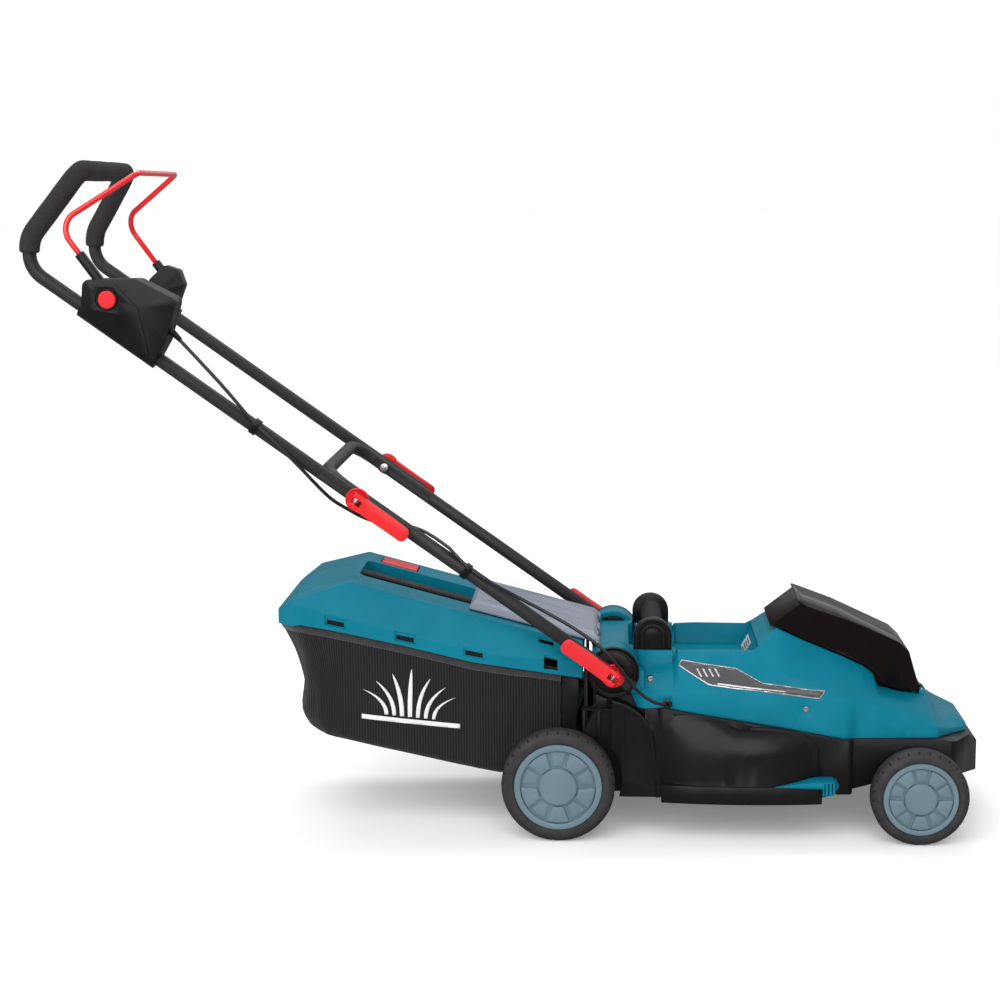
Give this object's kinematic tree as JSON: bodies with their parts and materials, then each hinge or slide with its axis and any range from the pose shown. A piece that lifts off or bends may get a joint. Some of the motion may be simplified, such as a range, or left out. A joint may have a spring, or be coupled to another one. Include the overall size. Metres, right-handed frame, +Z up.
{
  "type": "push lawn mower",
  "caption": "Battery push lawn mower with a folding handle, squeeze bail, rear grass catcher, smoked battery lid and rotary blade.",
  "frame": {"origin": "middle of the bounding box at the ground", "axes": "+X forward, +Y to the operator's left, +Z up"},
  "size_m": [1.4283, 0.415, 1.013],
  "materials": {
    "deck_plastic": "satin moulded black",
    "cover_plastic": "satin teal",
    "wheel_rubber": "matte",
    "hub_plastic": "satin grey blue",
    "flap_plastic": "semi-matt grey",
    "smoked_plastic": "smoked clear",
    "bag_fabric": "woven mesh",
    "tube_paint": "satin powder coat",
    "red_plastic": "satin red",
    "red_paint": "gloss red",
    "foam_rubber": "foam",
    "cable_rubber": "gloss jacket",
    "bright_steel": "zinc plated",
    "blade_steel": "dark coated, ground edge",
    "motor_metal": "cast",
    "inner_plastic": "moulded"
  },
  "bodies": {
    "root": {"deck_housing": "deck_plastic", "top_cover": "cover_plastic", "grass_combs": "cover_plastic", "axles": "bright_steel", "axle_clamps": "deck_plastic", "housing_screws": "bright_steel", "motor_housing": "motor_metal", "controller_box": "motor_metal", "battery_bay": "inner_plastic", "hinge_pins": "bright_steel", "carry_grip": "inner_plastic", "carry_caps": "deck_plastic", "cable_gland": "cable_rubber", "cable_deck": "cable_rubber"},
    "blade_set": {"motor_rotor": "motor_metal", "blade_carrier": "inner_plastic", "blade": "blade_steel", "blade_bolt": "bright_steel"},
    "battery": {"battery_pack": "inner_plastic"},
    "battery_latch": {"battery_release": "red_plastic"},
    "key": {"safety_key": "red_plastic"},
    "lid": {"battery_lid": "smoked_plastic"},
    "flap": {"rear_flap": "flap_plastic"},
    "catcher": {"catcher_lid": "cover_plastic", "catcher_grip": "inner_plastic", "catcher_bag": "bag_fabric", "catcher_frame": "inner_plastic"},
    "indicator": {"level_indicator": "red_plastic"},
    "handle_lower": {"lower_handle": "tube_paint", "pivot_discs": "deck_plastic", "tube_caps": "deck_plastic", "lower_bolts": "bright_steel", "lower_lever_seats": "red_plastic", "cable_clip_lower": "deck_plastic", "cable_lower": "cable_rubber"},
    "handle_upper": {"upper_handle": "tube_paint", "foam_grip": "foam_rubber", "switch_box_outer": "deck_plastic", "switch_box_inner": "deck_plastic", "trigger_switch": "inner_plastic", "bail_bracket": "deck_plastic", "upper_fasteners": "bright_steel", "upper_lever_seats": "red_plastic", "cable_clip_upper": "deck_plastic", "cable_upper": "cable_rubber"},
    "bail": {"bail_rod": "red_paint", "bail_hubs": "deck_plastic"},
    "button": {"safety_button": "red_plastic"},
    "rear_right_wheel": {"rear_right_tyre": "wheel_rubber", "rear_right_hub": "hub_plastic"},
    "rear_left_wheel": {"rear_left_tyre": "wheel_rubber", "rear_left_hub": "hub_plastic"},
    "front_right_wheel": {"front_right_tyre": "wheel_rubber", "front_right_hub": "hub_plastic"},
    "front_left_wheel": {"front_left_tyre": "wheel_rubber", "front_left_hub": "hub_plastic"},
    "lower_right_lever": {"lower_lever_right": "red_plastic"},
    "lower_left_lever": {"lower_lever_left": "red_plastic"},
    "upper_right_lever": {"upper_lever_right": "red_plastic"},
    "upper_left_lever": {"upper_lever_left": "red_plastic"}
  },
  "joints": [
    {"name": "rear_right_wheel_spin", "type": "hinge", "parent": "root", "child": "rear_right_wheel", "pos_m": [0.07018, -0.179, 0.085], "axis": [0, 1, 0], "continuous": true},
    {"name": "rear_left_wheel_spin", "type": "hinge", "parent": "root", "child": "rear_left_wheel", "pos_m": [0.07018, 0.179, 0.085], "axis": [0, 1, 0], "continuous": true},
    {"name": "front_right_wheel_spin", "type": "hinge", "parent": "root", "child": "front_right_wheel", "pos_m": [0.60618, -0.179, 0.072], "axis": [0, 1, 0], "continuous": true},
    {"name": "front_left_wheel_spin", "type": "hinge", "parent": "root", "child": "front_left_wheel", "pos_m": [0.60618, 0.179, 0.072], "axis": [0, 1, 0], "continuous": true},
    {"name": "blade_spin", "type": "hinge", "parent": "root", "child": "blade_set", "pos_m": [0.35518, 0, 0.11], "axis": [0, 0, 1], "continuous": true},
    {"name": "lower_fold", "type": "hinge", "parent": "root", "child": "handle_lower", "pos_m": [0.15218, 0, 0.249], "axis": [0, -1, 0], "range_deg": [-140, 0], "deforming": ["cable_deck"]},
    {"name": "upper_fold", "type": "hinge", "parent": "handle_lower", "child": "handle_upper", "pos_m": [-0.22394, 0, 0.51728], "axis": [0, 1, 0], "range_deg": [-95, 130], "deforming": ["cable_lower", "cable_upper"]},
    {"name": "bail_squeeze", "type": "hinge", "parent": "handle_upper", "child": "bail", "pos_m": [-0.58482, 0, 0.828], "axis": [0, -1, 0], "range_deg": [0, 20], "stiffness_Nm_per_rad": 2, "springref_deg": -20.05},
    {"name": "button_press", "type": "slide", "parent": "handle_upper", "child": "button", "axis": [0, 1, 0], "range_m": [0, 0.003], "stiffness_N_per_m": 400, "springref_m": -0.002},
    {"name": "lower_right_lever_release", "type": "hinge", "parent": "handle_lower", "child": "lower_right_lever", "pos_m": [0.15218, -0.177, 0.249], "axis": [0.5807, 0, 0.8141], "range_deg": [0, 100]},
    {"name": "lower_left_lever_release", "type": "hinge", "parent": "handle_lower", "child": "lower_left_lever", "pos_m": [0.15218, 0.177, 0.249], "axis": [-0.5807, 0, -0.8141], "range_deg": [0, 100]},
    {"name": "upper_right_lever_release", "type": "hinge", "parent": "handle_upper", "child": "upper_right_lever", "pos_m": [-0.22394, -0.1957, 0.51728], "axis": [-0.5807, 0, -0.8141], "range_deg": [0, 100]},
    {"name": "upper_left_lever_release", "type": "hinge", "parent": "handle_upper", "child": "upper_left_lever", "pos_m": [-0.22394, 0.1957, 0.51728], "axis": [0.5807, 0, 0.8141], "range_deg": [0, 100]},
    {"name": "flap_lift", "type": "hinge", "parent": "root", "child": "flap", "pos_m": [0.12718, 0, 0.283], "axis": [0, 1, 0], "range_deg": [0, 80], "stiffness_Nm_per_rad": 0.3, "springref_deg": -28.65},
    {"name": "catcher_pull", "type": "slide", "parent": "root", "child": "catcher", "axis": [-1, 0, 0], "range_m": [0, 0.3]},
    {"name": "indicator_lift", "type": "hinge", "parent": "catcher", "child": "indicator", "pos_m": [-0.21582, 0.09, 0.3705], "axis": [0, -1, 0], "range_deg": [0, 30]},
    {"name": "lid_open", "type": "hinge", "parent": "root", "child": "lid", "pos_m": [0.62618, 0, 0.202], "axis": [0, 1, 0], "range_deg": [0, 75]},
    {"name": "battery_slide", "type": "slide", "parent": "root", "child": "battery", "axis": [-0.9063, 0, 0.4226], "range_m": [0, 0.018]},
    {"name": "latch_press", "type": "slide", "parent": "battery", "child": "battery_latch", "axis": [-0.4226, 0, -0.9063], "range_m": [0, 0.003], "stiffness_N_per_m": 800, "springref_m": -0.002},
    {"name": "key_pull", "type": "slide", "parent": "root", "child": "key", "axis": [0.4226, 0, 0.9063], "range_m": [0, 0.012]}
  ]
}
